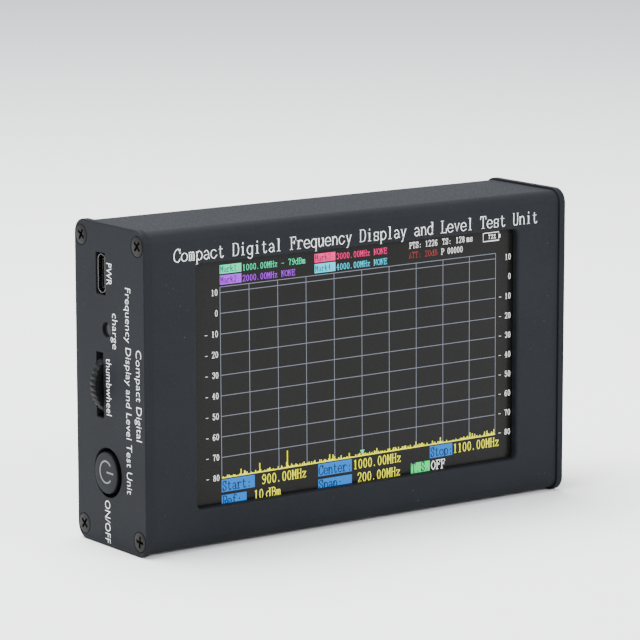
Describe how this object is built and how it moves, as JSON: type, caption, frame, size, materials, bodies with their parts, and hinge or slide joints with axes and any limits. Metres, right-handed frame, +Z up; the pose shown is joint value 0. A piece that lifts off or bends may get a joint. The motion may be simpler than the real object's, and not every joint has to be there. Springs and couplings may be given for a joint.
{
  "type": "handheld spectrum analyzer",
  "caption": "Slim boxed radio test instrument: metal tube with a wide screen window, end plates with a charging port, light, jog wheel, power button and coaxial jacks.",
  "frame": {"origin": "middle of the plane that it stands on, under the centre of the case", "axes": "+X towards the end plate with the coaxial jacks, -Y the screen side, +Z up"},
  "size_m": [0.1297, 0.029, 0.074],
  "materials": {
    "tube_coating": "fine-textured graphite powder coat on an aluminium extrusion, matte",
    "plate_coating": "fine-textured graphite powder coat on aluminium sheet, satin matte",
    "screw_steel": "black zinc on steel, satin, worn in the recess",
    "foam": "closed-cell foam, matte",
    "screen_glass": "liquid crystal cell behind a hard-coated polariser, faint gloss",
    "light_guide": "clear light guide with white reflector",
    "pressed_steel": "bright pressed steel, nickel plated",
    "flex_film": "amber polyimide film with traces",
    "cream_plastic": "moulded, unpainted",
    "circuit_board": "green solder mask on glass-fibre laminate",
    "chip_package": "moulded epoxy package",
    "ferrite": "sintered ferrite, matte",
    "capacitor_can": "bare aluminium can",
    "ceramic_parts": "fired ceramic with tinned ends",
    "tinned_shield": "tin-plated steel sheet",
    "port_steel": "deep-drawn stainless steel, satin",
    "black_plastic": "moulded black plastic",
    "gold_plate": "gold-plated brass",
    "led_package": "white LED package",
    "light_pipe": "smoked diffusing plastic",
    "spring_wire": "drawn spring wire",
    "button_plastic": "fine-textured moulded cap with a printed standby mark",
    "wheel_plastic": "black moulded plastic, grooved rim",
    "white_insulator": "PTFE, waxy",
    "battery_foil": "laminated pouch foil, satin",
    "wire_sleeve": "soft silicone sleeve"
  },
  "bodies": {
    "case": {"enclosure_shell": "tube_coating", "end_plate_left": "plate_coating", "end_plate_right": "plate_coating", "left_plate_screws": "screw_steel", "right_plate_screws": "screw_steel", "display_gasket": "foam", "lcd_glass": "screen_glass", "lcd_backlight": "light_guide", "lcd_frame": "pressed_steel", "lcd_flex": "flex_film", "flex_connector": "cream_plastic", "foam_pads": "foam", "main_board": "circuit_board", "processor_chip": "chip_package", "memory_chip": "chip_package", "charger_chip": "chip_package", "synthesizer_chips": "chip_package", "mixer_chips": "chip_package", "reference_oscillator": "pressed_steel", "power_inductors": "ferrite", "board_capacitors": "capacitor_can", "chip_passives": "ceramic_parts", "input_shield_can": "tinned_shield", "output_shield_can": "tinned_shield", "usb_shell": "port_steel", "usb_tongue": "black_plastic", "usb_contacts": "gold_plate", "charge_led": "led_package", "charge_light_pipe": "light_pipe", "power_switch_body": "black_plastic", "power_switch_pins": "pressed_steel", "power_switch_spring": "spring_wire", "encoder_base": "black_plastic", "encoder_push_contact": "pressed_steel", "carriage_springs": "spring_wire", "sma_input_body": "gold_plate", "sma_output_body": "gold_plate", "sma_insulators": "white_insulator", "sma_contacts": "gold_plate", "sma_washers": "gold_plate", "sma_nuts": "gold_plate", "battery_cell": "battery_foil", "battery_guard_board": "circuit_board", "battery_tape": "foam", "battery_leads": "wire_sleeve", "battery_plug": "cream_plastic", "battery_socket": "cream_plastic"},
    "power_button": {"power_button_cap": "button_plastic", "power_switch_plunger": "cream_plastic"},
    "wheel_carriage": {"encoder_carriage": "cream_plastic", "wheel_axle": "pressed_steel", "axle_clip": "pressed_steel"},
    "jog_wheel": {"track_wheel": "wheel_plastic"}
  },
  "joints": [
    {"name": "power_button_press", "type": "slide", "parent": "case", "child": "power_button", "axis": [1, 0, 0], "range_m": [0, 0.0012], "stiffness_N_per_m": 1200, "springref_m": -0.0008, "deforming": ["power_switch_spring"]},
    {"name": "wheel_push", "type": "slide", "parent": "case", "child": "wheel_carriage", "axis": [1, 0, 0], "range_m": [0, 0.0005], "stiffness_N_per_m": 3000, "springref_m": -0.0003, "deforming": ["carriage_springs"]},
    {"name": "wheel_turn", "type": "hinge", "parent": "wheel_carriage", "child": "jog_wheel", "pos_m": [-0.0541, 0.00425, 0.037], "axis": [0, 1, 0], "continuous": true}
  ]
}
